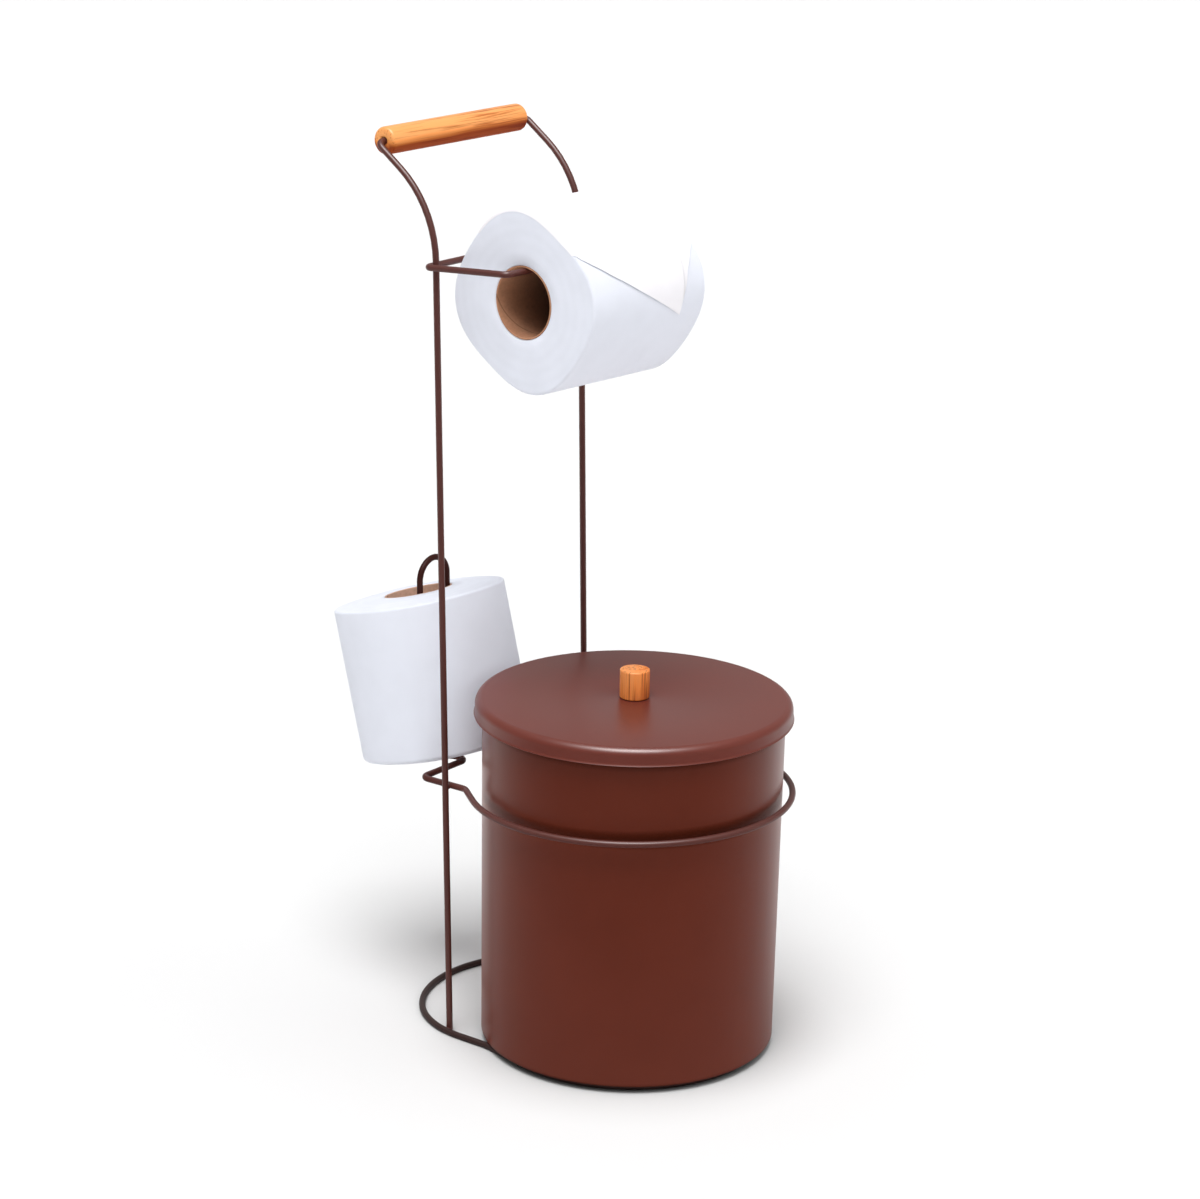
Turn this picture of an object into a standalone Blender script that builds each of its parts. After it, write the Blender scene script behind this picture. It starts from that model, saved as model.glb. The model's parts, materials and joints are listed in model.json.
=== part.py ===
"""Free-standing toilet paper holder with a lidded bin.

A bent wire stand carries a round sheet-steel bin at its foot, a paper roll on an open bar near
its top, a spare roll on an upright loop behind the bin, and a turned wooden grip at the very top.
Lengths are in metres, angles in degrees. The front of the holder faces -Y and +Z is up.
"""
import math

import bmesh
import bpy
from mathutils import Euler, Quaternion, Vector

# Wire stand
SEAT_GAP = 0.0003
WIRE_DIAMETER = 0.004
UPRIGHT_SPACING = 0.140
UPRIGHT_LEAN = 1.8
GRIP_HEIGHT = 0.5576
GRIP_SETBACK = 0.062
TOP_SLOPE = 36.0
TOP_BEND_RADIUS = 0.068
GRIP_CORNER_RADIUS = 0.0055
BASE_ARC_START = 0.012
BASE_ARC_DEPTH = 0.0693
BASE_KNEE_FRONT = 0.035
BASE_KNEE_RADIUS = 0.030
BASE_RING_INSET = 0.0069

# Wooden grip
GRIP_DIAMETER = 0.017
GRIP_END_GAP = 0.0005
GRIP_EDGE_RADIUS = 0.0022

# Bin
SHEET_THICKNESS = 0.0008
BIN_RADIUS = 0.0935
BIN_TAPER = 0.0017
BIN_HEIGHT = 0.2191
BIN_OFFSET = 0.0012
RIM_CURL_RADIUS = 0.0015
RIM_CURL_SWEEP = 260.0
SEAM_LIP = 0.007
SEAM_BEND_RADIUS = 0.003
FLOOR_FLANGE = 0.006
FLOOR_RIM_WIDTH = 0.009
FLOOR_RISE = 0.0035
FLOOR_RISE_RUN = 0.004

# Lid, knob and the screw that holds them together
LID_CLEARANCE = 0.0007
LID_SKIRT = 0.0112
LID_EDGE_RADIUS = 0.003
LID_LIP = 0.0007
LID_LIP_HEIGHT = 0.0018
KNOB_DIAMETER = 0.0185
KNOB_HEIGHT = 0.018
KNOB_EDGE_RADIUS = 0.0008
KNOB_SEAT_DEPTH = 0.0003
KNOB_SEAT_MARGIN = 0.0006
KNOB_SEAT_RUN = 0.0009
SCREW_DIAMETER = 0.0038
SCREW_REACH = 0.011
SCREW_TIP = 0.002
SCREW_HEAD_DIAMETER = 0.0076
SCREW_HEAD_HEIGHT = 0.0024
SCREW_HEAD_EDGE = 0.0009
WASHER_DIAMETER = 0.011
WASHER_THICKNESS = 0.001

# Wire round the bin, which also carries the spare roll
HOOP_HEIGHT = 0.1641
HOOP_TILT = 0.8
HOOP_CLEARANCE = 0.0047
HOOP_TANGENT = 0.0211
KNEE_FRONT = 0.0073
KNEE_RADIUS = 0.008
RUN_SETBACK = 0.028
RUN_BEND_RADIUS = 0.0055
SEAT_HALF_WIDTH = 0.022
SEAT_START = 0.0384
SEAT_BEND_RADIUS = 0.012
POST_HALF_WIDTH = 0.0132
POST_BEND_RADIUS = 0.006
POST_TOP = 0.2841
POST_FOOT_SETBACK = 0.0726
POST_LEAN = 1.2

# Paper rolls
CORE_DIAMETER = 0.042
CORE_WALL = 0.0009
ROLL_LENGTH = 0.100
ROLL_RADIUS = 0.0536
ROLL_SQUASH = 0.00235
ROLL_SQUASH_TURN = -11.0
ROLL_OVAL = 0.0012
ROLL_OVAL_TURN = 17.5
SQUASH_WAVES = 4
ROLL_EDGE_RADIUS = 0.0016
ROLL_TURN = 4.0
ROLL_SIDE_GAP = 0.0143
SPARE_RADIUS = 0.0539
SPARE_SQUASH = 0.0015
SPARE_SQUASH_TURN = -52.0
SPARE_CROWN = 0.0024
SPARE_LEAN = 15.0
SPARE_SETBACK = 0.0612
SPARE_EDGE_RADIUS = 0.0016
SPARE_FOOT_EDGE_RADIUS = 0.0032

# Loose end of the roll in use: how far the paper reaches round the roll at each share of its width
TAIL_THICKNESS = 0.0005
TAIL_LIFT = 0.0006
TAIL_PUFF = 0.0047
TAIL_START = 45.0
TAIL_END = 190.0
TAIL_ROWS = 20
TAIL_EDGE_SHARES = (
    (0.0, 138.5), (0.025, 143.2), (0.08, 148.4), (0.2, 157.8), (0.4, 169.7), (0.63, 181.9),
    (0.76, 189.2), (0.785, 190.6), (0.793, 177.3), (0.842, 163.6), (0.924, 152.5), (1.0, 144.2),
)

# Arm that carries the roll in use
CROSSBAR_DROP = 0.0693
CROSSBAR_TIP = 0.0045
ARM_LENGTH = 0.0618
ARM_RISE = 0.0041
ARM_BEND_RADIUS = 0.004
BAR_TIP = 0.012

# Facets
WIRE_RESOLUTION = 2
SHEET_STEPS = 64
WOOD_STEPS = 32
SMALL_STEPS = 20
ROLL_STEPS = 64
CORE_STEPS = 32
BEND_STEP = 15.0
ARC_STEP = 5.625
MERGE_SHARE = 0.01

# Colours
BROWN = (0.117, 0.042, 0.032)
OAK = (0.65, 0.32, 0.12)
PAPER = (0.86, 0.86, 0.88)
CARD = (0.42, 0.27, 0.15)
ZINC = (0.55, 0.55, 0.56)


def sin(degrees):
    return math.sin(math.radians(degrees))


def cos(degrees):
    return math.cos(math.radians(degrees))


def tan(degrees):
    return math.tan(math.radians(degrees))


# Sizes that follow from the wire: its flats and the room one wire needs beside another
WIRE_RADIUS = WIRE_DIAMETER / 2
WIRE_PITCH = WIRE_DIAMETER + SEAT_GAP
WIRE_SIDES = 4 + 2 * WIRE_RESOLUTION
WIRE_FLAT = WIRE_RADIUS * cos(180 / WIRE_SIDES)
RING_TOP = 2 * WIRE_FLAT
HALF_SPACING = UPRIGHT_SPACING / 2
BASE_HALF_WIDTH = (HALF_SPACING + WIRE_PITCH) / math.sqrt(1 - (BASE_ARC_START / BASE_ARC_DEPTH) ** 2)
GRIP_HALF = HALF_SPACING - GRIP_CORNER_RADIUS - GRIP_END_GAP

# The hoop, which leaves room round the bin and ends in straight runs inside the uprights
LEAD_X = HALF_SPACING - WIRE_PITCH
HOOP_RADIUS = BIN_RADIUS + HOOP_CLEARANCE + WIRE_RADIUS
HOOP_SETBACK = KNEE_FRONT + math.sqrt(HOOP_RADIUS**2 + HOOP_TANGENT**2 - LEAD_X**2)
BIN_SETBACK = HOOP_SETBACK + BIN_OFFSET
RUN_HEIGHT = HOOP_HEIGHT - (HOOP_SETBACK + RUN_SETBACK) * tan(HOOP_TILT)

# The bin, measured to the middle of its sheet
HALF_SHEET = SHEET_THICKNESS / 2
BIN_FOOT = RING_TOP + SEAT_GAP
RIM_TOP = BIN_FOOT + BIN_HEIGHT
WALL_TOP = BIN_RADIUS - HALF_SHEET
WALL_FOOT = WALL_TOP - BIN_TAPER
CURL_HEIGHT = RIM_TOP - HALF_SHEET - RIM_CURL_RADIUS
LIP_HEIGHT = BIN_FOOT + HALF_SHEET
PAN_HEIGHT = LIP_HEIGHT + SHEET_THICKNESS + SEAT_GAP
PAN_RADIUS = WALL_FOOT - SHEET_THICKNESS - SEAT_GAP
PAN_BEND_RADIUS = SEAM_BEND_RADIUS - SHEET_THICKNESS - SEAT_GAP

# The lid over the rim, and what is fixed through it
SKIRT_RADIUS = WALL_TOP + 2 * RIM_CURL_RADIUS + SHEET_THICKNESS + LID_CLEARANCE
LID_UNDERSIDE = RIM_TOP + SEAT_GAP
LID_HEIGHT = LID_UNDERSIDE + HALF_SHEET
LID_TOP = LID_UNDERSIDE + SHEET_THICKNESS
KNOB_FOOT = LID_TOP - KNOB_SEAT_DEPTH + SEAT_GAP
SCREW_RADIUS = SCREW_DIAMETER / 2
SCREW_HOLE = SCREW_RADIUS + SEAT_GAP
WASHER_TOP = LID_UNDERSIDE - KNOB_SEAT_DEPTH - SEAT_GAP
HEAD_TOP = WASHER_TOP - WASHER_THICKNESS - SEAT_GAP

# The rolls: their cores, and where each one rests
CORE_RADIUS = CORE_DIAMETER / 2
CORE_OUTSIDE = CORE_RADIUS + CORE_WALL
PAPER_BORE = CORE_OUTSIDE + SEAT_GAP
SEAT_RUN = (SPARE_SETBACK - SEAT_START - (WIRE_RADIUS + SEAT_GAP) * sin(SPARE_LEAN)) / cos(SPARE_LEAN)
SEAT_SLOPE = Vector((0, cos(SPARE_LEAN), -sin(SPARE_LEAN)))
SPARE_AXIS = Vector((0, sin(SPARE_LEAN), cos(SPARE_LEAN)))
SPARE_FOOT = (
    Vector((0, SEAT_START, RUN_HEIGHT)) + SEAT_SLOPE * SEAT_RUN + SPARE_AXIS * (WIRE_RADIUS + SEAT_GAP)
)
CROSSBAR_HEIGHT = GRIP_HEIGHT - CROSSBAR_DROP
CROSSBAR_Y = CROSSBAR_HEIGHT * tan(UPRIGHT_LEAN) + WIRE_PITCH
ARM_X = -HALF_SPACING - WIRE_PITCH
BAR_DIRECTION = Vector((cos(ROLL_TURN), -sin(ROLL_TURN), 0))
BAR_CORNER = Vector((ARM_X, CROSSBAR_Y - ARM_LENGTH, CROSSBAR_HEIGHT + ARM_RISE))
ROLL_NEAR = (
    BAR_CORNER
    + BAR_DIRECTION * (ROLL_SIDE_GAP / BAR_DIRECTION.x)
    - Vector((0, 0, CORE_RADIUS - WIRE_RADIUS - SEAT_GAP))
)


def roll_outline(angle, radius, squash, turn):
    """The radius of a roll which has been squeezed a little out of round."""
    return radius + squash * cos(SQUASH_WAVES * (angle - turn))


def spare_outline(angle):
    return roll_outline(angle, SPARE_RADIUS, SPARE_SQUASH, SPARE_SQUASH_TURN)


# The holder's own origin: on the floor, under the middle of its whole depth
FRONT_REACH = HOOP_SETBACK + HOOP_RADIUS + WIRE_RADIUS
SPARE_REACH = max(spare_outline(angle) * sin(angle) for angle in range(180))
BACK_REACH = (
    SPARE_FOOT.y
    + (ROLL_LENGTH - SPARE_EDGE_RADIUS) * sin(SPARE_LEAN)
    + (SPARE_REACH - SPARE_EDGE_RADIUS) * cos(SPARE_LEAN)
    + SPARE_EDGE_RADIUS
)
ORIGIN = Vector((0, (FRONT_REACH - BACK_REACH) / 2, 0))


def fillet_path(corners):
    """Points of a path through (position, bend radius) corners, each bend a true arc."""
    places = [Vector(place) for place, _ in corners]
    path = [places[0]]
    for index in range(1, len(corners) - 1):
        corner, radius = places[index], corners[index][1]
        inward = (corner - places[index - 1]).normalized()
        outward = (places[index + 1] - corner).normalized()
        turn = inward.angle(outward)
        to_centre = (outward - inward * math.cos(turn)).normalized() * radius
        start = corner - inward * (radius * math.tan(turn / 2))
        axis = inward.cross(outward).normalized()
        steps = max(2, math.ceil(math.degrees(turn) / BEND_STEP))
        path += [
            start + to_centre + Quaternion(axis, turn * step / steps) @ -to_centre
            for step in range(steps + 1)
        ]
    return path + [places[-1]]


def arc(centre, radius, start, end):
    """Points of a level arc, from one angle to another."""
    steps = math.ceil(abs(end - start) / ARC_STEP)
    angles = [start + (end - start) * step / steps for step in range(steps + 1)]
    return [centre + Vector((radius * cos(angle), radius * sin(angle), 0)) for angle in angles]


def meeting_angle(centre, radius, place):
    """The angle on a round part where a straight run from a place behind it flows into it."""
    reach = place - centre
    return math.degrees(math.atan2(reach.y, reach.x) + math.acos(radius / reach.xy.length))


def on_hoop(x, y):
    """A place in the plane of the hoop, which falls a little towards the back."""
    return Vector((x, y, HOOP_HEIGHT - (y + HOOP_SETBACK) * tan(HOOP_TILT)))


def mirrored(path):
    """The same path on the other side of the holder, running back the other way."""
    return [Vector((-point.x, point.y, point.z)) for point in reversed(path)]


def material(name, colour, metallic, roughness):
    paint = bpy.data.materials.new(name)
    paint.use_nodes = True
    shader = paint.node_tree.nodes["Principled BSDF"]
    shader.inputs["Base Color"].default_value = (*colour, 1)
    shader.inputs["Metallic"].default_value = metallic
    shader.inputs["Roughness"].default_value = roughness
    return paint


def place(obj, collection, paint, location=Vector(), turn=Euler()):
    """Put a finished piece into the holder, measured from between the uprights' feet."""
    obj.data.materials.append(paint)
    obj.location = ORIGIN + location
    obj.rotation_euler = turn
    collection.objects.link(obj)
    return obj


def wire(name, path, closed=False, level=False):
    """A round wire along a path; level keeps two of its flats facing straight up and down."""
    curve = bpy.data.curves.new(name, "CURVE")
    curve.dimensions = "3D"
    curve.bevel_depth = WIRE_RADIUS
    curve.bevel_resolution = WIRE_RESOLUTION
    curve.use_fill_caps = True
    curve.twist_mode = "Z_UP" if level else "MINIMUM"
    spline = curve.splines.new("POLY")
    spline.points.add(len(path) - 1)
    spline.use_cyclic_u = closed
    for point, position in zip(spline.points, path):
        point.co = (*position, 1)
        point.tilt = math.radians(180 / WIRE_SIDES) if level else 0
    return bpy.data.objects.new(name, curve)


def turned(name, profile, steps, ring=False, sheet=None):
    """A piece turned about its own Z axis from (radius, height) points that run down its outside."""
    mesh = bpy.data.meshes.new(name)
    edges = [(index, index + 1) for index in range(len(profile) - 1)]
    if ring:
        edges.append((len(profile) - 1, 0))
    mesh.from_pydata([(radius, 0, height) for radius, height in profile], edges, [])
    obj = bpy.data.objects.new(name, mesh)
    screw = obj.modifiers.new("Turn", "SCREW")
    screw.steps = steps
    screw.render_steps = steps
    screw.use_smooth_shade = True
    screw.use_merge_vertices = True
    screw.merge_threshold = SEAT_GAP * MERGE_SHARE
    if sheet:
        solidify = obj.modifiers.new("Sheet", "SOLIDIFY")
        solidify.thickness = sheet
        solidify.offset = 0
        solidify.use_even_offset = True
    return obj


def corner_points(centre, radius, start, end, steps):
    """Points of a rounded corner in a turned profile."""
    angles = [start + (end - start) * step / steps for step in range(steps + 1)]
    return [(centre[0] + radius * cos(angle), centre[1] + radius * sin(angle)) for angle in angles]


def grid_object(name, rows, close_rows=False, close_columns=False):
    """A surface over a grid of points, closed on itself where asked."""
    mesh = bpy.data.meshes.new(name)
    shape = bmesh.new()
    grid = [[shape.verts.new(point) for point in row] for row in rows]
    row_count = len(grid) if close_rows else len(grid) - 1
    column_count = len(grid[0]) if close_columns else len(grid[0]) - 1
    for row in range(row_count):
        for column in range(column_count):
            this, following = grid[row], grid[(row + 1) % len(grid)]
            along = (column + 1) % len(this)
            shape.faces.new((this[column], this[along], following[along], following[column]))
    bmesh.ops.recalc_face_normals(shape, faces=shape.faces)
    for face in shape.faces:
        face.smooth = True
    shape.to_mesh(mesh)
    shape.free()
    return bpy.data.objects.new(name, mesh)


def base_ring():
    """The ring on the floor: round under the bin, with an oval end behind that clasps the uprights."""
    level = Vector((0, 0, WIRE_FLAT))
    centre = level - Vector((0, BIN_SETBACK, 0))
    knee = level - Vector((BASE_HALF_WIDTH, BASE_KNEE_FRONT, 0))
    radius = WALL_FOOT + HALF_SHEET - BASE_RING_INSET
    join = meeting_angle(centre, radius, knee)
    front = arc(centre, radius, join, 540 - join)
    steps = math.ceil(180 / ARC_STEP)
    back = []
    for step in range(steps + 1):
        across = BASE_HALF_WIDTH * cos(180 * step / steps)
        along = BASE_ARC_DEPTH * sin(180 * step / steps) - BASE_ARC_START
        back.append(level + Vector((across, along, 0)))
    side = fillet_path([(back[-1], 0), (knee, BASE_KNEE_RADIUS), (front[0], 0)])[1:-1]
    return wire("base_ring", back + side + front + mirrored(side), closed=True, level=True)


def uprights():
    """One wire: up from one foot, over and back to the grip, across it, and down to the other foot."""
    foot = Vector((-HALF_SPACING, SEAT_GAP * tan(UPRIGHT_LEAN), SEAT_GAP))
    run = 1 / tan(TOP_SLOPE)
    bend_height = (GRIP_HEIGHT * run - GRIP_SETBACK) / (run - tan(UPRIGHT_LEAN))
    bend = Vector((-HALF_SPACING, bend_height * tan(UPRIGHT_LEAN), bend_height))
    top = Vector((-HALF_SPACING, GRIP_SETBACK, GRIP_HEIGHT))
    corners = [(foot, 0), (bend, TOP_BEND_RADIUS), (top, GRIP_CORNER_RADIUS)]
    corners += [(Vector((-place.x, place.y, place.z)), radius) for place, radius in reversed(corners)]
    return wire("uprights", fillet_path(corners))


def hoop_and_post():
    """One closed wire: round the bin, in between the uprights, back under the spare roll, up
    through its core and round again."""
    centre = on_hoop(0, -HOOP_SETBACK)
    knee = on_hoop(-LEAD_X, -KNEE_FRONT)
    join = meeting_angle(centre, HOOP_RADIUS, knee)
    hoop = [on_hoop(point.x, point.y) for point in arc(centre, HOOP_RADIUS, 540 - join, join)]
    seat_drop = (POST_FOOT_SETBACK - SEAT_START) * tan(SPARE_LEAN)
    foot = Vector((-POST_HALF_WIDTH, POST_FOOT_SETBACK, RUN_HEIGHT - seat_drop))
    arch_height = POST_TOP - WIRE_RADIUS - POST_HALF_WIDTH
    leg_top = foot + Vector((0, tan(POST_LEAN), 1)) * (arch_height - foot.z)
    half = fillet_path([
        (hoop[-1], 0),
        (knee, KNEE_RADIUS),
        (on_hoop(-LEAD_X, RUN_SETBACK), RUN_BEND_RADIUS),
        (on_hoop(-SEAT_HALF_WIDTH, RUN_SETBACK), RUN_BEND_RADIUS),
        (Vector((-SEAT_HALF_WIDTH, SEAT_START, RUN_HEIGHT)), SEAT_BEND_RADIUS),
        (foot, POST_BEND_RADIUS),
        (leg_top, 0),
    ])[1:]
    arch = [
        leg_top + Vector((POST_HALF_WIDTH * (1 - cos(angle)), 0, POST_HALF_WIDTH * sin(angle)))
        for angle in (BEND_STEP * step for step in range(1, round(180 / BEND_STEP)))
    ]
    return wire("hoop_and_post", hoop + half + arch + mirrored(half), closed=True)


def roll_arm():
    """One wire: across behind the uprights, forward past the left one, and along the roll's axis."""
    corner = Vector((ARM_X, CROSSBAR_Y, CROSSBAR_HEIGHT))
    end = BAR_CORNER + BAR_DIRECTION * (ROLL_SIDE_GAP / BAR_DIRECTION.x + ROLL_LENGTH + BAR_TIP)
    path = fillet_path([
        (Vector((HALF_SPACING + CROSSBAR_TIP, CROSSBAR_Y, CROSSBAR_HEIGHT)), 0),
        (corner, WIRE_PITCH),
        (BAR_CORNER, ARM_BEND_RADIUS),
        (end, 0),
    ])
    return wire("roll_arm", path)


def grip():
    radius, edge = GRIP_DIAMETER / 2, GRIP_EDGE_RADIUS
    bore = WIRE_RADIUS + SEAT_GAP
    profile = [(bore, GRIP_HALF)]
    profile += corner_points((radius - edge, GRIP_HALF - edge), edge, 90, 0, 4)
    profile += corner_points((radius - edge, edge - GRIP_HALF), edge, 0, -90, 4)
    profile += [(bore, -GRIP_HALF)]
    return turned("grip", profile, WOOD_STEPS, ring=True)


def bin_wall():
    """A tapered sheet wall, curled over at the rim and turned in at the foot."""
    curl_end = 180 - RIM_CURL_SWEEP
    profile = corner_points((WALL_TOP + RIM_CURL_RADIUS, CURL_HEIGHT), RIM_CURL_RADIUS, curl_end, 180, 8)
    seam = SEAM_BEND_RADIUS
    profile += corner_points((WALL_FOOT - seam, LIP_HEIGHT + seam), seam, 0, -90, 3)
    profile += [(WALL_FOOT - SEAM_LIP, LIP_HEIGHT)]
    return turned("bin_wall", profile, SHEET_STEPS, sheet=SHEET_THICKNESS)


def bin_floor():
    """A pressed pan that drops into the wall and rests on its turned-in foot."""
    bend = PAN_BEND_RADIUS
    rise_start = PAN_RADIUS - FLOOR_RIM_WIDTH
    profile = [(PAN_RADIUS, PAN_HEIGHT + FLOOR_FLANGE)]
    profile += corner_points((PAN_RADIUS - bend, PAN_HEIGHT + bend), bend, 0, -90, 3)
    profile += [
        (rise_start, PAN_HEIGHT),
        (rise_start - FLOOR_RISE_RUN, PAN_HEIGHT + FLOOR_RISE),
        (0, PAN_HEIGHT + FLOOR_RISE),
    ]
    return turned("bin_floor", profile, SHEET_STEPS, sheet=SHEET_THICKNESS)


def lid():
    """A flat sheet lid with a shallow seat for the knob, and a short skirt that flares at its edge."""
    edge = LID_EDGE_RADIUS
    skirt_end = LID_TOP - LID_SKIRT
    seat = KNOB_DIAMETER / 2 + KNOB_SEAT_MARGIN
    seat_height = LID_HEIGHT - KNOB_SEAT_DEPTH
    profile = [(SCREW_HOLE, seat_height), (seat, seat_height), (seat + KNOB_SEAT_RUN, LID_HEIGHT)]
    profile += corner_points((SKIRT_RADIUS - edge, LID_HEIGHT - edge), edge, 90, 0, 5)
    profile += [(SKIRT_RADIUS, skirt_end + LID_LIP_HEIGHT), (SKIRT_RADIUS + LID_LIP, skirt_end)]
    return turned("lid", profile, SHEET_STEPS, sheet=SHEET_THICKNESS)


def knob():
    radius, edge = KNOB_DIAMETER / 2, KNOB_EDGE_RADIUS
    top = KNOB_FOOT + KNOB_HEIGHT
    bore_end = HEAD_TOP + SCREW_REACH + SEAT_GAP
    profile = [(0, top)]
    profile += corner_points((radius - edge, top - edge), edge, 90, 0, 3)
    profile += corner_points((radius - edge, KNOB_FOOT + edge), edge, 0, -90, 2)
    profile += [(SCREW_HOLE, KNOB_FOOT), (SCREW_HOLE, bore_end), (0, bore_end)]
    return turned("lid_knob", profile, WOOD_STEPS)


def knob_screw():
    """A pointed shank that goes up through washer and lid into the knob, on a rounded head."""
    head, edge = SCREW_HEAD_DIAMETER / 2, SCREW_HEAD_EDGE
    tip = HEAD_TOP + SCREW_REACH
    profile = [(0, tip), (SCREW_RADIUS, tip - SCREW_TIP), (SCREW_RADIUS, HEAD_TOP), (head, HEAD_TOP)]
    profile += corner_points((head - edge, HEAD_TOP - SCREW_HEAD_HEIGHT + edge), edge, 0, -90, 3)
    profile += [(0, HEAD_TOP - SCREW_HEAD_HEIGHT)]
    return turned("knob_screw", profile, SMALL_STEPS)


def knob_washer():
    radius, foot = WASHER_DIAMETER / 2, WASHER_TOP - WASHER_THICKNESS
    profile = [(SCREW_HOLE, WASHER_TOP), (radius, WASHER_TOP), (radius, foot), (SCREW_HOLE, foot)]
    return turned("knob_washer", profile, SMALL_STEPS, ring=True)


def core(name):
    """The card tube inside a roll, standing on its own Z axis."""
    profile = [
        (CORE_RADIUS, ROLL_LENGTH), (CORE_OUTSIDE, ROLL_LENGTH), (CORE_OUTSIDE, 0), (CORE_RADIUS, 0)
    ]
    return turned(name, profile, CORE_STEPS, ring=True)


def roll_section(radius, edge, foot_edge, crown=0):
    """Half a roll's lengthwise section, from its bore round the outside and back."""
    return (
        [(PAPER_BORE, ROLL_LENGTH + crown)]
        + corner_points((radius - edge, ROLL_LENGTH - edge), edge, 90, 0, 3)
        + corner_points((radius - foot_edge, foot_edge), foot_edge, 0, -90, 3)
        + [(PAPER_BORE, 0)]
    )


def wound_paper(name, outline, edge, foot_edge, crown=0):
    """A roll's paper about its own Z axis, its section following an outline that isn't quite round."""
    rows = []
    for step in range(ROLL_STEPS):
        angle = 360 * step / ROLL_STEPS
        section = roll_section(outline(angle), edge, foot_edge, crown)
        rows.append([(radius * cos(angle), radius * sin(angle), height) for radius, height in section])
    return grid_object(name, rows, close_rows=True, close_columns=True)


def used_outline(angle):
    """The roll in use, with +X to the back: squeezed, and pressed a little oval."""
    oval = ROLL_OVAL * cos(2 * (angle - ROLL_OVAL_TURN))
    return roll_outline(angle, ROLL_RADIUS, ROLL_SQUASH, ROLL_SQUASH_TURN) + oval


def tail_lift(share, angle):
    """How far the middle of the loose paper stands off the roll, at a share of its width."""
    rise = max(sin(180 * (angle - TAIL_START) / (TAIL_END - TAIL_START)), 0)
    return TAIL_LIFT + TAIL_THICKNESS / 2 + TAIL_PUFF * math.sqrt(share) * rise


def roll_tail():
    """The loose end of the paper, laid in a soft curve over the roll and cut to a point."""
    rows = []
    for share, reach in TAIL_EDGE_SHARES:
        row = []
        for step in range(TAIL_ROWS + 1):
            angle = TAIL_START + (reach - TAIL_START) * step / TAIL_ROWS
            radius = used_outline(angle) + tail_lift(share, angle)
            row.append((radius * cos(angle), radius * sin(angle), share * ROLL_LENGTH))
        rows.append(row)
    tail = grid_object("roll_tail", rows)
    solidify = tail.modifiers.new("Paper", "SOLIDIFY")
    solidify.thickness = TAIL_THICKNESS
    solidify.offset = 0
    return tail


def build():
    for obj in list(bpy.data.objects):
        bpy.data.objects.remove(obj, do_unlink=True)
    holder = bpy.data.collections.new("Toilet paper holder with bin")
    bpy.context.scene.collection.children.link(holder)
    brown = material("brown_enamel", BROWN, 0.0, 0.35)
    oak = material("oak", OAK, 0.0, 0.55)
    paper = material("tissue_paper", PAPER, 0.0, 0.95)
    card = material("core_card", CARD, 0.0, 0.9)
    zinc = material("zinc_plate", ZINC, 1.0, 0.35)

    for piece in (base_ring(), uprights(), hoop_and_post(), roll_arm()):
        place(piece, holder, brown)
    place(grip(), holder, oak, Vector((0, GRIP_SETBACK, GRIP_HEIGHT)), Euler((0, math.pi / 2, 0)))

    bin_axis = Vector((0, -BIN_SETBACK, 0))
    for piece in (bin_wall(), bin_floor(), lid()):
        place(piece, holder, brown, bin_axis)
    place(knob(), holder, oak, bin_axis)
    for piece in (knob_screw(), knob_washer()):
        place(piece, holder, zinc, bin_axis)

    along_bar = Euler((math.pi / 2, 0, math.pi / 2 - math.radians(ROLL_TURN)))
    place(core("roll_core"), holder, card, ROLL_NEAR, along_bar)
    used = wound_paper("roll_paper", used_outline, ROLL_EDGE_RADIUS, ROLL_EDGE_RADIUS)
    for piece in (used, roll_tail()):
        place(piece, holder, paper, ROLL_NEAR, along_bar)

    leaning = Euler((-math.radians(SPARE_LEAN), 0, 0))
    place(core("spare_core"), holder, card, SPARE_FOOT + SPARE_AXIS * SPARE_CROWN, leaning)
    edges = SPARE_EDGE_RADIUS, SPARE_FOOT_EDGE_RADIUS
    spare = wound_paper("spare_paper", spare_outline, *edges, SPARE_CROWN)
    place(spare, holder, paper, SPARE_FOOT, leaning)


build()
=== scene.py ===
"""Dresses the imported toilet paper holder: coated wire and sheet steel, turned wood, card and paper.

Lengths are in metres and angles in degrees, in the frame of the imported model.
"""

import json
import math

import bpy
from bpy.props import FloatProperty, FloatVectorProperty, PointerProperty
from mathutils import Euler, Matrix, Quaternion, Vector


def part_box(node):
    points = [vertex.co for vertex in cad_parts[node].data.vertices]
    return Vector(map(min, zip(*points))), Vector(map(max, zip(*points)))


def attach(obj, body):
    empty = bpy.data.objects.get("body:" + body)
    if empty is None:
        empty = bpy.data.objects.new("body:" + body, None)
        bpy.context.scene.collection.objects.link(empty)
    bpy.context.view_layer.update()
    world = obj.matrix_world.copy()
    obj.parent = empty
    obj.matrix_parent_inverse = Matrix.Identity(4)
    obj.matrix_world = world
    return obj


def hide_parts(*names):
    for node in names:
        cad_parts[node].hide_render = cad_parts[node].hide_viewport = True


bl_info = {
    "name": "Toilet paper holder with bin",
    "version": (1, 0, 0),
    "blender": (4, 5, 0),
    "location": "View3D > Sidebar > Holder",
    "description": "Builds the visible pieces of a wire toilet paper holder with a lidded bin",
    "category": "Add Mesh",
}

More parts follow.
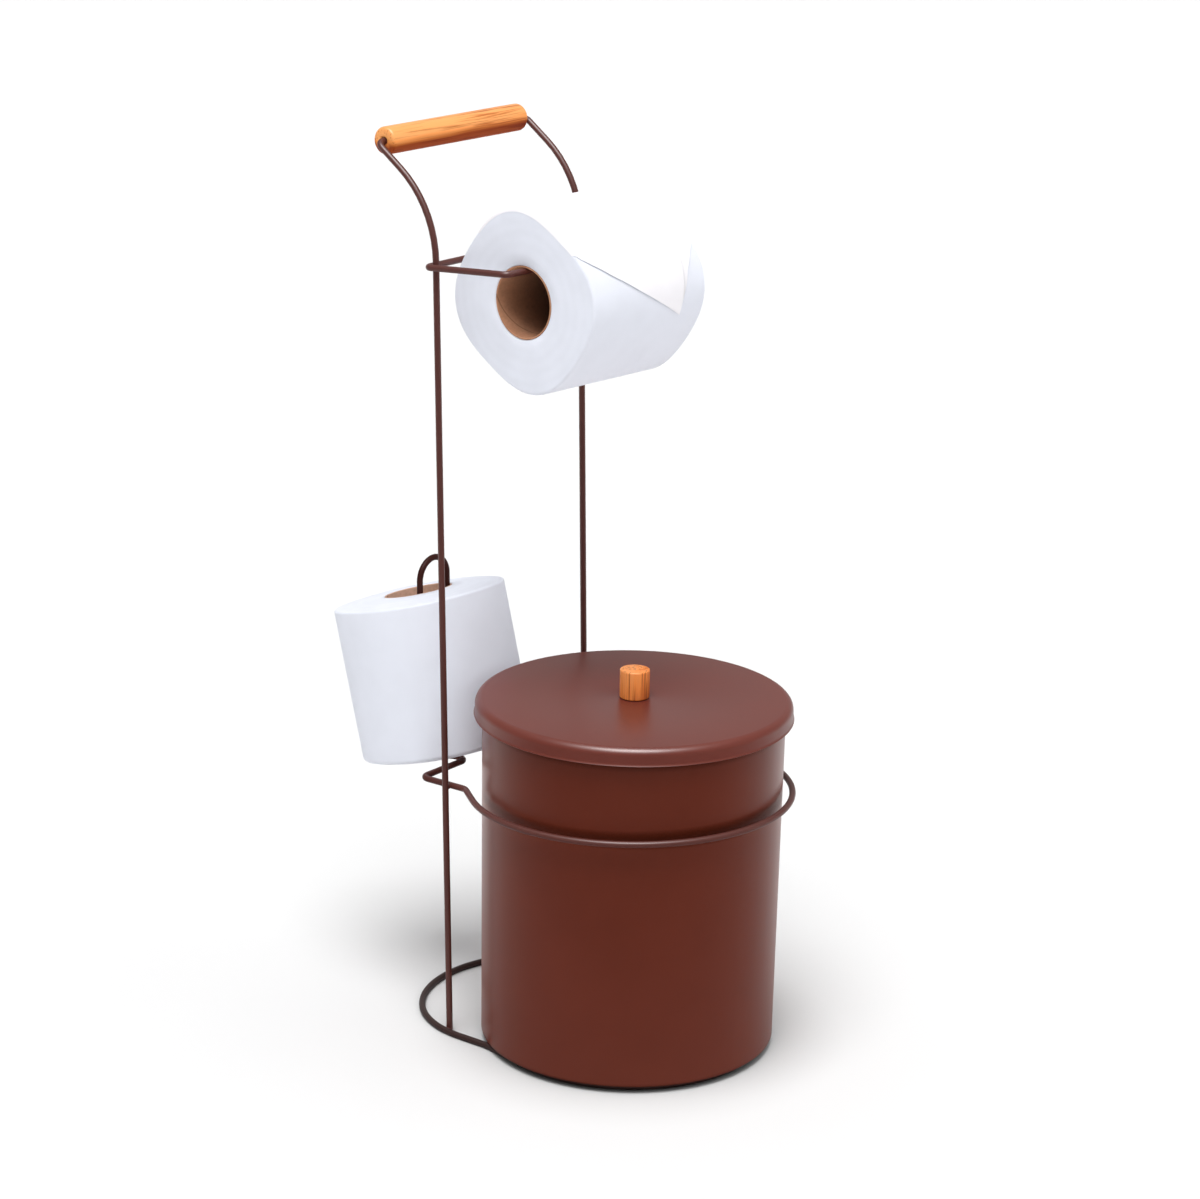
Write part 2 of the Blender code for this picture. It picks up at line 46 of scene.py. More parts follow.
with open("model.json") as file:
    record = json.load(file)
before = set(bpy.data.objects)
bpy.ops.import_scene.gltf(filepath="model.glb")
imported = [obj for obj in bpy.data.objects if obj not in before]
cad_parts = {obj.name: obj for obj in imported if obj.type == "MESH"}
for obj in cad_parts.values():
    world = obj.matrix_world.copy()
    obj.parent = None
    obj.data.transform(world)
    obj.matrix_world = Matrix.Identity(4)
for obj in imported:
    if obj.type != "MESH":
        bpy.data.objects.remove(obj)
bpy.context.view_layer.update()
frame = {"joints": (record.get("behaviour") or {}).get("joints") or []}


def box_centre(node):
    low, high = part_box(node)
    return (low + high) / 2


def box_size(node):
    low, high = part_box(node)
    return high - low


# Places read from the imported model
BIN_AXIS = Vector((0, box_centre("bin_wall").y, 0))
BIN_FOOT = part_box("bin_wall")[0].z
RIM_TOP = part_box("bin_wall")[1].z
LID_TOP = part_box("lid")[1].z
LID_HEIGHT = box_size("lid").z
GRIP_CENTRE = box_centre("grip")
ROLL_JOINT = next(joint for joint in frame["joints"] if joint["name"] == "roll_spin")
ROLL_CENTRE = Vector(ROLL_JOINT["pos_m"])
BAR_DIRECTION = Vector(ROLL_JOINT["axis"]).normalized()

# Room left between pieces that only touch in the object
SEAT_GAP = 0.0003

# The wires' own routes, as they were bent
FEET_Y = 0.02521
UPRIGHT_X = 0.070
UPRIGHT_LEAN = 1.8
UPRIGHT_FOOT = 0.0003
TOP_SLOPE = 36.0
TOP_BEND = 0.068
GRIP_BEND = 0.0055
BASE_X = 0.07544
BASE_ARC_FRONT = 0.012
BASE_DEPTH = 0.0693
BASE_KNEE_FRONT = 0.035
BASE_KNEE_BEND = 0.030
BASE_RING_RADIUS = 0.0849
HOOP_Z = 0.1641
HOOP_TILT = 0.8
HOOP_RADIUS = 0.1002
HOOP_SETBACK = 0.085841
KNEE_FRONT = 0.0073
KNEE_BEND = 0.008
LEAD_X = 0.0657
RUN_Y = 0.028
RUN_BEND = 0.0055
SEAT_X = 0.022
SEAT_Y = 0.0384
SEAT_BEND = 0.012
POST_X = 0.0132
POST_BEND = 0.006
POST_FOOT_Y = 0.0726
POST_LEAN = 1.2
POST_TOP_Z = 0.2841
CROSSBAR_Z = 0.4883
CROSSBAR_TIP = 0.0045
CROSSBAR_BEND = 0.0043
ARM_X = 0.0743
ARM_LENGTH = 0.0618
ARM_RISE = 0.0041
ARM_BEND = 0.004
BAR_LENGTH = 0.1263

# How far a wire's cut end is rounded, as a share of its radius
WIRE_END = 0.6

# How far apart crossing wires' middles are, and a weld bead's shares of the wire and of its reach
WELD_GAP = 0.0043
WELD_THICKNESS = 0.62
WELD_WIDTH = 0.7

# The forms of the sheet pieces, the small fittings and the rolls
BIN_RADIUS = 0.0935
BIN_TAPER = 0.0017
RIM_CURL = 0.001
SEAM_LIP = 0.007
SEAM_BEND = 0.0012
PAN_BEND = 0.0019
FLOOR_RADIUS = 0.0903
FLOOR_Z = 0.0055
PAN_WALL = 0.006
PAN_STEP_FOOT = 0.009
PAN_STEP_HEAD = 0.0135
PAN_STEP_BEND = 0.0015
PAN_RISE = 0.0035
LID_SKIRT_RADIUS = 0.0976
LID_EDGE = 0.0045
KNOB_SEAT_DEPTH = 0.0003
KNOB_SEAT_MARGIN = 0.0006
KNOB_SEAT_RUN = 0.0009
BORE_CHAMFER = 0.0006
SCREW_HOLE = 0.0022
SCREW_SHANK = 0.0019
SCREW_POINT = 0.002
SCREW_HEAD_EDGE = 0.0009
SLOT_WIDTH = 0.0011
SLOT_DEPTH = 0.0011
WASHER_CHAMFER = 0.00015
CORE_INSIDE = 0.021
CORE_OUTSIDE = 0.0219
CORE_BEVEL = 0.0004
CORE_INNER_BEVEL = 0.0003
CORE_OUTER_BEVEL = 0.0002
PAPER_BORE = 0.0221
PAPER_BEVEL = 0.0005
ROLL_LENGTH = 0.100
ROLL_RADIUS = 0.0536
ROLL_SQUASH = 0.00235
ROLL_SQUASH_TURN = -11.0
ROLL_OVAL = 0.0012
ROLL_OVAL_TURN = 17.5
ROLL_TURN = 4.0
SPARE_RADIUS = 0.0539
SPARE_SQUASH = 0.0015
SPARE_SQUASH_TURN = -52.0
SPARE_CROWN = 0.0024
CROWN_RUN = 0.57
SPARE_LEAN = 15.0
SPARE_FOOT = Vector((0, FEET_Y + 0.0612, 0.158782))

# Rings of faces in flat turned pieces: round the middle, and in from the lid's edge
POLE_RING = 0.002
SCREW_POLE_RING = 0.0006
LID_RING = 0.02

# The lid's skirt at its end: how far each point stands out, and how high above the end it is
LID_FLARE = ((0, 0.0018), (0.0001, 0.0012), (0.0003, 0.0006), (0.0007, 0))

# The loose end: how far round the roll it reaches at each share of its width
TAIL_EDGE = (
    (0.0, 138.5), (0.025, 143.2), (0.08, 148.4), (0.2, 157.8), (0.4, 169.7), (0.63, 181.9),
    (0.76, 189.2), (0.785, 190.6), (0.793, 177.3), (0.842, 163.6), (0.924, 152.5), (1.0, 144.2),
)

# Its reach round the roll, how far it stands off it, and the share of its length where it settles
TAIL_START = 45.0
TAIL_END = 190.0
TAIL_PUFF = 0.0047
TAIL_SETTLES_FROM = 0.8
TAIL_SETTLING = 0.75
TAIL_THICKNESS = 0.0003
TAIL_CROWDING = 1.35

# The camera that took the photograph, and the size of that picture
CAMERA_PLACE = Vector((-1.63684, -1.30632 + FEET_Y, 0.90463))
CAMERA_RIGHT = Vector((0.61081, -0.79152, 0.01998))
CAMERA_UP = Vector((0.21798, 0.19237, 0.95681))
CAMERA_FOCAL_PIXELS = 3500
PHOTO_WIDTH = 1200

# The even light of the white room, as a share of a full white sky
STUDIO_LEVEL = 0.42

# The level direction away from the camera, in which the room is mirrored brighter
TO_BACK = (0.79, 0.61, 0)

# The lamps' directions, energies and angles, and whether they light and whether they are mirrored
LAMPS = (
    ("overhead_softbox", Vector((-0.26, -0.09, 1)), 1.95, 32, True, True),
    ("high_softbox", Vector((-0.5, -0.38, 1)), 0.55, 34, True, False),
    ("side_softbox", Vector((0.5, -0.8, 0.45)), 0.5, 60, True, False),
    ("edge_striplight", Vector((-0.34, -0.25, 1)), 5, 36, False, True),
)

# How near another surface paints shade into the bin's coating and the floor
CREVICE_REACH = 0.007
CONTACT_REACH = 0.05

# Colours that the panel doesn't hold, as sRGB hex
WIRE_BROWN = "5C2E27"
# The base wire's brown is the wire brown painted darker, as painted shade
SHADED_BASE_BROWN = "321914"
LID_BROWN = "6D2D21"
COATING_SHEEN = "FFA08C"
KNOB_WOOD = "FFA25A"
KNOB_GRAIN = "9A5223"
SPARE_CARD = "D6AE98"
# The loose end's paper, painted lighter than the rolls' paper, as painted light
LOOSE_PAPER_PAINTED_LIGHT = "FCFAFE"
ZINC = "C3C5C8"
FLOOR_BOUNCE = "EEEEEE"
FLOOR_SEEN = ("ECECEC", "EDEDED")


def sin(degrees):
    return math.sin(math.radians(degrees))


def cos(degrees):
    return math.cos(math.radians(degrees))


def tan(degrees):
    return math.tan(math.radians(degrees))


def linear(code):
    """A colour written as sRGB hex, as the linear values that shaders take."""
    shares = [int(code[index:index + 2], 16) / 255 for index in (0, 2, 4)]
    return [
        share / 12.92 if share <= 0.04045 else ((share + 0.055) / 1.055) ** 2.4 for share in shares
    ]


class WireSizes(bpy.types.PropertyGroup):
    diameter: FloatProperty(
        name="Wire diameter", description="Thickness of the coated wire", default=0.004,
        unit="LENGTH", precision=4,
    )
    weld_reach: FloatProperty(
        name="Weld reach", description="Half the length of a weld bead along the wires",
        default=0.0032, unit="LENGTH", precision=4,
    )


class BinSizes(bpy.types.PropertyGroup):
    sheet: FloatProperty(
        name="Sheet thickness", description="Thickness of the pressed steel sheet", default=0.0008,
        unit="LENGTH", precision=4,
    )
    knob_edge: FloatProperty(
        name="Knob edge", description="Rounding of the turned knob's edges", default=0.0009,
        unit="LENGTH", precision=4,
    )
    grip_edge: FloatProperty(
        name="Grip edge", description="Rounding of the turned grip's ends", default=0.0024,
        unit="LENGTH", precision=4,
    )


class RollSizes(bpy.types.PropertyGroup):
    edge: FloatProperty(
        name="Roll edge", description="Rounding of the paper's edge on the roll in use",
        default=0.0018, unit="LENGTH", precision=4,
    )
    spare_edge: FloatProperty(
        name="Spare roll edge", description="Rounding of the paper's edge on the spare roll",
        default=0.0016, unit="LENGTH", precision=4,
    )
    tail_lift: FloatProperty(
        name="Loose end lift", description="How far the loose end's edge stands off the roll",
        default=0.0004, unit="LENGTH", precision=4,
    )


class FinishColours(bpy.types.PropertyGroup):
    enamel: FloatVectorProperty(
        name="Coating", description="Brown powder coating of the bin", subtype="COLOR",
        default=linear("642614"),
    )
    wood: FloatVectorProperty(
        name="Wood", description="Light parts of the turned wood", subtype="COLOR",
        default=linear("FFAE66"),
    )
    wood_grain: FloatVectorProperty(
        name="Wood grain", description="Dark lines of the turned wood", subtype="COLOR",
        default=linear("C06018"),
    )
    paper: FloatVectorProperty(
        name="Paper", description="Tissue paper of the rolls", subtype="COLOR",
        default=linear("EAEDF7"),
    )
    card: FloatVectorProperty(
        name="Card", description="Card of the core of the roll in use", subtype="COLOR",
        default=linear("C28D6C"),
    )


# Making and finishing pieces


def deselect():
    bpy.ops.object.select_all(action="DESELECT")


def edit_all():
    bpy.ops.object.mode_set(mode="EDIT")
    bpy.ops.mesh.select_all(action="SELECT")


def finish_piece(obj, name, body, node, slot, *materials):
    """Name a piece, give it its materials, and let it stand for its node and ride on its body."""
    obj.name = obj.data.name = name
    obj.data.materials.clear()
    for material in materials:
        obj.data.materials.append(material)
    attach(obj, body)
    if node:
        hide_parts(node)


def smooth(obj, angle=35):
    bpy.ops.object.shade_smooth_by_angle(angle=math.radians(angle))
    return obj


def apply_place(obj, matrix):
    """Turn a place into mesh coordinates, so that the object itself stays at the origin."""
    obj.matrix_world = matrix
    bpy.ops.object.transform_apply(location=True, rotation=True, scale=True)
    return obj


def turn_profile(profile, steps, closed=False):
    """Pull a point along a profile of (radius, height) points and spin it round the Z axis."""
    deselect()
    bpy.ops.mesh.primitive_plane_add(size=0.01)
    obj = bpy.context.object
    edit_all()
    bpy.ops.mesh.merge(type="CENTER")
    bpy.ops.transform.translate(value=(profile[0][0], 0, profile[0][1]))
    around = list(zip(profile, profile[1:]))
    if closed:
        around.append((profile[-1], profile[0]))
    for (radius, height), (next_radius, next_height) in around:
        step = (next_radius - radius, 0, next_height - height)
        bpy.ops.mesh.extrude_region_move(TRANSFORM_OT_translate={"value": step})
    bpy.ops.mesh.select_all(action="SELECT")
    bpy.ops.mesh.spin(steps=steps, angle=math.tau, center=(0, 0, 0), axis=(0, 0, 1))
    bpy.ops.mesh.select_all(action="SELECT")
    bpy.ops.mesh.remove_doubles(threshold=0.00002)
    bpy.ops.mesh.normals_make_consistent(inside=False)
    bpy.ops.object.mode_set(mode="OBJECT")
    return obj


def thicken(obj, thickness):
    modifier = obj.modifiers.new("Sheet", "SOLIDIFY")
    modifier.thickness = thickness
    modifier.offset = 0
    modifier.use_even_offset = True
    bpy.ops.object.modifier_apply(modifier=modifier.name)


def corner(centre_radius, centre_height, radius, start, end, steps):
    """Points of a rounded corner in a turned profile."""
    angles = [start + (end - start) * step / steps for step in range(steps + 1)]
    return [
        (centre_radius + radius * cos(angle), centre_height + radius * sin(angle))
        for angle in angles
    ]


# Routes of the wires


def fillet_path(corners, step_angle=6.0):
    """Points of a path through (position, bend radius) corners, each bend a true arc."""
    places = [place for place, _ in corners]
    path = [places[0]]
    for index in range(1, len(corners) - 1):
        place, radius = corners[index]
        inward = (place - places[index - 1]).normalized()
        outward = (places[index + 1] - place).normalized()
        turn = inward.angle(outward)
        to_centre = (outward - inward * math.cos(turn)).normalized() * radius
        start = place - inward * (radius * math.tan(turn / 2))
        axis = inward.cross(outward).normalized()
        steps = max(3, math.ceil(math.degrees(turn) / step_angle))
        path += [
            start + to_centre + Quaternion(axis, turn * step / steps) @ -to_centre
            for step in range(steps + 1)
        ]
    return path + [places[-1]]


def arc(centre, radius, start, end, step_angle=2.5):
    steps = math.ceil(abs(end - start) / step_angle)
    angles = [start + (end - start) * step / steps for step in range(steps + 1)]
    return [centre + Vector((radius * cos(angle), radius * sin(angle), 0)) for angle in angles]


def meeting_angle(centre, radius, place):
    """The angle on a round part where a straight run from a place behind it flows into it."""
    reach = place - centre
    return math.degrees(math.atan2(reach.y, reach.x) + math.acos(radius / reach.xy.length))


def on_hoop(x, y):
    """A place in the plane of the hoop, which falls a little towards the back."""
    return Vector((x, y, HOOP_Z - (y + HOOP_SETBACK) * tan(HOOP_TILT)))


def mirrored(path):
    return [Vector((-point.x, point.y, point.z)) for point in reversed(path)]


def behind_feet(path):
    """A route measured from between the uprights' feet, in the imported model's frame."""
    return [point + Vector((0, FEET_Y, 0)) for point in path]


def base_route(wire_radius):
    level = Vector((0, 0, wire_radius))
    centre = level + BIN_AXIS - Vector((0, FEET_Y, 0))
    knee = level - Vector((BASE_X, BASE_KNEE_FRONT, 0))
    join = meeting_angle(centre, BASE_RING_RADIUS, knee)
    front = arc(centre, BASE_RING_RADIUS, join, 540 - join)
    back = [
        level + Vector((BASE_X * cos(angle), BASE_DEPTH * sin(angle) - BASE_ARC_FRONT, 0))
        for angle in range(0, 181, 3)
    ]
    side = fillet_path([(back[-1], 0), (knee, BASE_KNEE_BEND), (front[0], 0)], 2)[1:-1]
    return behind_feet(back + side + front + mirrored(side))


def upright_route(foot_height):
    top_z, top_y = GRIP_CENTRE.z, GRIP_CENTRE.y - FEET_Y
    run = 1 / tan(TOP_SLOPE)
    bend_z = (top_z * run - top_y) / (run - tan(UPRIGHT_LEAN))
    corners = [
        (Vector((-UPRIGHT_X, foot_height * tan(UPRIGHT_LEAN), foot_height)), 0),
        (Vector((-UPRIGHT_X, bend_z * tan(UPRIGHT_LEAN), bend_z)), TOP_BEND),
        (Vector((-UPRIGHT_X, top_y, top_z)), GRIP_BEND),
    ]
    corners += [
        (Vector((-place.x, place.y, place.z)), radius) for place, radius in reversed(corners)
    ]
    return behind_feet(fillet_path(corners))


def hoop_route(wire_radius):
    centre = on_hoop(0, -HOOP_SETBACK)
    knee = on_hoop(-LEAD_X, -KNEE_FRONT)
    join = meeting_angle(centre, HOOP_RADIUS, knee)
    round_hoop = arc(centre, HOOP_RADIUS, 540 - join, join)
    hoop = [on_hoop(point.x, point.y) for point in round_hoop]
    run_z = on_hoop(0, RUN_Y).z
    foot = Vector((-POST_X, POST_FOOT_Y, run_z - (POST_FOOT_Y - SEAT_Y) * tan(SPARE_LEAN)))
    arch_z = POST_TOP_Z - wire_radius - POST_X
    leg_top = foot + Vector((0, tan(POST_LEAN), 1)) * (arch_z - foot.z)
    half = fillet_path([
        (hoop[-1], 0),
        (knee, KNEE_BEND),
        (on_hoop(-LEAD_X, RUN_Y), RUN_BEND),
        (on_hoop(-SEAT_X, RUN_Y), RUN_BEND),
        (Vector((-SEAT_X, SEAT_Y, run_z)), SEAT_BEND),
        (foot, POST_BEND),
        (leg_top, 0),
    ])[1:]
    arch = [
        leg_top + POST_X * Vector((1 - cos(angle), 0, sin(angle))) for angle in range(6, 180, 6)
    ]
    return behind_feet(hoop + half + arch + mirrored(half))


def arm_route():
    crossbar_y = CROSSBAR_Z * tan(UPRIGHT_LEAN) + WELD_GAP
    bar_corner = Vector((-ARM_X, crossbar_y - ARM_LENGTH, CROSSBAR_Z + ARM_RISE))
    return behind_feet(fillet_path([
        (Vector((UPRIGHT_X + CROSSBAR_TIP, crossbar_y, CROSSBAR_Z)), 0),
        (Vector((-ARM_X, crossbar_y, CROSSBAR_Z)), CROSSBAR_BEND),
        (bar_corner, ARM_BEND),
        (bar_corner + BAR_DIRECTION * BAR_LENGTH, 0),
    ]))


def bend_wire(path, radius, closed=False):
    """A round wire along a path, its cut ends slightly rounded, as one closed mesh."""
    deselect()
    points = [(point, 1) for point in path]
    if not closed:
        for end, inner in ((0, 1), (-1, -2)):
            inwards = (path[inner] - path[end]).normalized()
            rounding = [
                (
                    path[end] + inwards * radius * WIRE_END * (1 - cos(angle)),
                    1 - WIRE_END * (1 - sin(angle)),
                )
                for angle in (0, 30, 60, 90)
            ]
            points = rounding + points[1:] if end == 0 else points[:-1] + rounding[::-1]
    curve = bpy.data.curves.new("wire", "CURVE")
    curve.dimensions = "3D"
    curve.bevel_depth = radius
    curve.bevel_resolution = 6
    curve.use_fill_caps = True
    spline = curve.splines.new("POLY")
    spline.points.add(len(points) - 1)
    spline.use_cyclic_u = closed
    for spline_point, (place, share) in zip(spline.points, points):
        spline_point.co = (*place, 1)
        spline_point.radius = share
    obj = bpy.data.objects.new("wire", curve)
    bpy.context.collection.objects.link(obj)
    bpy.context.view_layer.objects.active = obj
    obj.select_set(True)
    bpy.ops.object.convert(target="MESH")
    edit_all()
    bpy.ops.mesh.remove_doubles(threshold=0.00001)
    bpy.ops.mesh.normals_make_consistent(inside=False)
    bpy.ops.object.mode_set(mode="OBJECT")
    return smooth(bpy.context.object, 50)


def weld_bead(place, reach, seed):
    """A small lump of weld where two wires touch, coated over with them."""
    deselect()
    bpy.ops.mesh.primitive_uv_sphere_add(segments=20, ring_count=12, radius=1)
    edit_all()
    bpy.ops.transform.resize(value=reach)
    bpy.ops.transform.vertex_random(offset=min(reach) * 0.12, seed=seed, normal=0.6)
    bpy.ops.transform.translate(value=place)
    bpy.ops.object.mode_set(mode="OBJECT")
    return smooth(bpy.context.object, 80)


# Materials


def set_inputs(tree, node, **inputs):
    """Set a node's inputs to values, or link them to other nodes' outputs."""
    for key, value in inputs.items():
        name = key.replace("_", " ")
        socket = node.inputs[int(name[1:])] if name[1:].isdigit() else node.inputs[name]
        if isinstance(value, bpy.types.NodeSocket):
            tree.links.new(value, socket)
        else:
            socket.default_value = value


def add_node(tree, kind, settings=None, **inputs):
    """A node with its settings and inputs. An input is named, or numbered as i0, i1 and so on."""
    node = tree.nodes.new("ShaderNode" + kind)
    for key, value in (settings or {}).items():
        setattr(node, key, value)
    set_inputs(tree, node, **inputs)
    return node


def calculate(tree, operation, *values):
    numbered = {f"i{index}": value for index, value in enumerate(values)}
    return add_node(tree, "Math", {"operation": operation}, **numbered).outputs["Value"]


def noise(tree, place, scale, detail, **more):
    return add_node(
        tree, "TexNoise", Vector=place, Scale=scale, Detail=detail, **more
    ).outputs["Fac"]


def map_range(tree, value, low, high, start=0.0, end=1.0):
    """Turn a value's range from start to end into the range from low to high."""
    return add_node(
        tree, "MapRange", Value=value, From_Min=start, From_Max=end, To_Min=low, To_Max=high
    ).outputs["Result"]


def distance_along(tree, place, direction):
    return add_node(
        tree, "VectorMath", {"operation": "DOT_PRODUCT"}, i0=place, i1=direction
    ).outputs["Value"]


def dimmed(tree, colour, share):
    return add_node(
        tree, "VectorMath", {"operation": "SCALE"}, i0=colour, Scale=share
    ).outputs["Vector"]


def mix(tree, factor, colour, other, **settings):
    """The colour at factor 0, and the other one at factor 1."""
    return add_node(
        tree, "Mix", {"data_type": "RGBA", **settings}, i0=factor, i6=colour, i7=other
    ).outputs[2]


def bump(tree, height, strength, distance, **more):
    return add_node(
        tree, "Bump", Height=height, Strength=strength, Distance=distance, **more
    ).outputs["Normal"]


def open_air(tree, reach, power):
    """1 in the open, and less where another surface is within reach."""
    near = add_node(tree, "AmbientOcclusion", {"samples": 8}, Distance=reach)
    return calculate(tree, "POWER", near.outputs["AO"], power)


def new_material(name):
    """A material with its tree, its shader and its Object coordinates."""
    material = bpy.data.materials.new(name)
    material.use_nodes = True
    tree = material.node_tree
    shader = tree.nodes["Principled BSDF"]
    place = add_node(tree, "TexCoord").outputs["Object"]
    return material, tree, shader, place


def colour_ramp(tree, factor, stops):
    ramp = add_node(tree, "ValToRGB", Fac=factor)
    elements = ramp.color_ramp.elements
    while len(elements) < len(stops):
        elements.new(0.5)
    for element, (position, colour) in zip(elements, stops):
        element.position = position
        element.color = (*colour, 1)
    return ramp.outputs["Color"]


def shaded(colour, share):
    return [channel * share for channel in colour]


# Painted shade for a coating: both take its tree and its Object coordinates


def painted_crevice_shade(tree, place):
    """Painted shade, darkest close to another surface: above the hoop, under the lid's lip and at the
    foot.
    """
    return open_air(tree, CREVICE_REACH, power=2.8)


def painted_rear_shade(tree, place):
    """Painted shade, falling from the hoop's ends back to the seat under the spare roll: darker and
    less mirrored behind.
    """
    depth = add_node(tree, "SeparateXYZ", Vector=place).outputs["Y"]
    return map_range(tree, depth, 1.0, 0.4, start=0.02, end=0.08)


def powder_coating(name, colour, roughness, shine, glow=0, shade=None):
    """Polyester powder coating, baked on steel: satin, with a fine orange peel of about 1 mm.

    Its tone and gloss drift a little over patches 45 mm wide.
    """
    material, tree, shader, place = new_material(name)
    patch = noise(tree, place, 1 / 0.045, 3.0)
    tint = colour_ramp(tree, patch, [(0.3, shaded(colour, 0.95)), (0.7, shaded(colour, 1.04))])
    # A shade is painted shade: it dims the colour and, by taking the IOR towards 1, takes away the
    # reflection there.
    if shade:
        share = shade(tree, place)
        tint = dimmed(tree, tint, share)
        set_inputs(tree, shader, IOR=map_range(tree, share, 1.0, 1.5))
    peel = noise(tree, place, 1 / 0.0011, 1.5)
    set_inputs(
        tree, shader, Base_Color=tint, Specular_IOR_Level=shine,
        Roughness=map_range(tree, patch, roughness - 0.02, roughness + 0.03),
        Normal=bump(tree, peel, 0.1, 0.00008),
        Sheen_Weight=glow, Sheen_Roughness=0.4, Sheen_Tint=(*linear(COATING_SHEEN), 1),
    )
    return material


def turned_wood(name, light, dark, length_axis, offset, centre, shade_direction):
    """Oiled light hardwood, turned: fibres 1 to 2 mm apart run along the piece, with darker pores.

    One flank is painted darker, redder and rougher, as painted shade broken up by the growth rings:
    the direction towards it is as long as its reach is steep.
    """
    material, tree, shader, place = new_material(name)

    def grain(across, lengthways, detail, distortion):
        stretch = [1 / across] * 3
        stretch[length_axis] = 1 / lengthways
        own = add_node(tree, "Mapping", Vector=place, Location=offset, Scale=stretch)
        return noise(tree, own.outputs["Vector"], 1.0, detail, Distortion=distortion)

    fibres = grain(0.0013, 0.045, 4.0, 0.35)
    growth = grain(0.007, 0.12, 2.0, 0.8)
    both = calculate(tree, "MULTIPLY_ADD", fibres, 0.65, calculate(tree, "MULTIPLY", growth, 0.35))
    between = [(one + other) / 2 for one, other in zip(light, dark)]
    tint = colour_ramp(
        tree, both, [(0.34, dark), (0.42, between), (0.48, light), (0.7, shaded(light, 1.1))]
    )
    own = add_node(tree, "VectorMath", {"operation": "SUBTRACT"}, i0=place, i1=centre)
    flank = distance_along(tree, own.outputs["Vector"], shade_direction)
    edge = calculate(tree, "MULTIPLY_ADD", growth, 0.7, flank)
    # Painted shade: darker and redder towards one flank, mixed with the growth rings.
    flank_shade = colour_ramp(tree, edge, [
        (0, (1, 1, 1)), (0.2, (1, 0.88, 0.7)),
        (0.43, (0.66, 0.44, 0.25)), (0.65, (0.34, 0.13, 0.04)),
    ])
    set_inputs(
        tree, shader, Base_Color=mix(tree, 1.0, tint, flank_shade, blend_type="MULTIPLY"),
        Normal=bump(tree, fibres, 0.12, 0.00012),
        Roughness=map_range(tree, edge, 0.38, 0.9, start=0.1, end=0.5), Specular_IOR_Level=0.3,
    )
    return material


def roll_place(tree, place, matrix):
    """Object coordinates turned into a roll's own: Z along its axis from its lower or near end."""
    location, rotation, _ = matrix.decompose()
    mapping = add_node(
        tree, "Mapping", {"vector_type": "TEXTURE"},
        Vector=place, Location=location, Rotation=rotation.to_euler("XYZ"),
    )
    return mapping.outputs["Vector"]


def tissue_side(name, colour, matrix):
    """Creped two-ply tissue seen flat: crepe lines under 1 mm across the web, and soft dents."""
    material, tree, shader, place = new_material(name)
    own = roll_place(tree, place, matrix)
    crepe = add_node(tree, "Mapping", Vector=own, Scale=(1 / 0.0014, 1 / 0.0014, 1 / 0.009))
    crepe_lines = noise(tree, crepe.outputs["Vector"], 1.0, 3.0)
    dents = noise(tree, own, 1 / 0.028, 2.0)
    tint = colour_ramp(tree, dents, [(0.35, shaded(colour, 0.975)), (0.65, colour)])
    fine = bump(tree, crepe_lines, 0.25, 0.0002)
    set_inputs(
        tree, shader, Base_Color=tint, Normal=bump(tree, dents, 0.5, 0.0016, Normal=fine),
        Roughness=0.95, Specular_IOR_Level=0.15, Sheen_Weight=0.08,
    )
    return material


def tissue_end(name, colour, matrix):
    """The roll's cut end: hundreds of wound layers, drawn as rings 1.1 mm apart so they show."""
    material, tree, shader, place = new_material(name)
    own = roll_place(tree, place, matrix)
    layers = add_node(
        tree, "TexWave", {"wave_type": "RINGS", "rings_direction": "Z"},
        Vector=own, Scale=1 / 0.0011 / 20, Distortion=1.2, Detail=2.0, Detail_Scale=0.6,
    ).outputs["Fac"]
    shade = calculate(tree, "MULTIPLY_ADD", layers, 0.12, noise(tree, own, 1 / 0.02, 3.0))
    # The end's light tone reaches 2% over the paper's colour, a small painted light on the cut end.
    tint = colour_ramp(tree, shade, [(0.35, shaded(colour, 0.975)), (0.7, shaded(colour, 1.02))])
    set_inputs(
        tree, shader, Base_Color=tint, Normal=bump(tree, layers, 0.08, 0.0002),
        Roughness=0.97, Specular_IOR_Level=0.1,
    )
    return material


def core_card(name, colour, matrix, painted_deep_share):
    """Grey-brown recycled card, wound on a slant, with the seam of its strip 60 mm apart.

    The last argument is how much of its brightness is left half way through: painted shade, darker
    towards the middle of the tube, where little light reaches.
    """
    material, tree, shader, place = new_material(name)
    own = roll_place(tree, place, matrix)
    parts = add_node(tree, "SeparateXYZ", Vector=own).outputs
    angle = calculate(tree, "ARCTAN2", parts["Y"], parts["X"])
    slant = calculate(tree, "DIVIDE", parts["Z"], 0.06)
    turns = calculate(tree, "MULTIPLY_ADD", angle, 1 / math.tau, slant)
    seam = calculate(tree, "LESS_THAN", calculate(tree, "FRACT", turns), 0.018)
    height = calculate(tree, "SUBTRACT", noise(tree, own, 1 / 0.0018, 4.0), seam)
    tint = colour_ramp(
        tree, height, [(0.0, shaded(colour, 0.62)), (0.35, shaded(colour, 0.88)), (0.65, colour)]
    )
    middle = ROLL_LENGTH / 2
    # Painted shade, darkest half way along the tube.
    inwards = calculate(tree, "PINGPONG", parts["Z"], middle)
    painted_bore_shade = map_range(tree, inwards, 1.0, painted_deep_share, end=middle)
    set_inputs(
        tree, shader, Base_Color=dimmed(tree, tint, painted_bore_shade),
        Normal=bump(tree, height, 0.3, 0.0002), Roughness=0.9, Specular_IOR_Level=0.2,
    )
    return material


def zinc_plate(name):
    """Bright zinc plating on a steel screw and washer, with light turning marks 0.4 mm apart."""
    material, tree, shader, place = new_material(name)
    marks = noise(tree, place, 1 / 0.0004, 2.0)
    set_inputs(
        tree, shader, Base_Color=(*linear(ZINC), 1), Metallic=1.0,
        Roughness=map_range(tree, marks, 0.25, 0.42),
    )
    return material


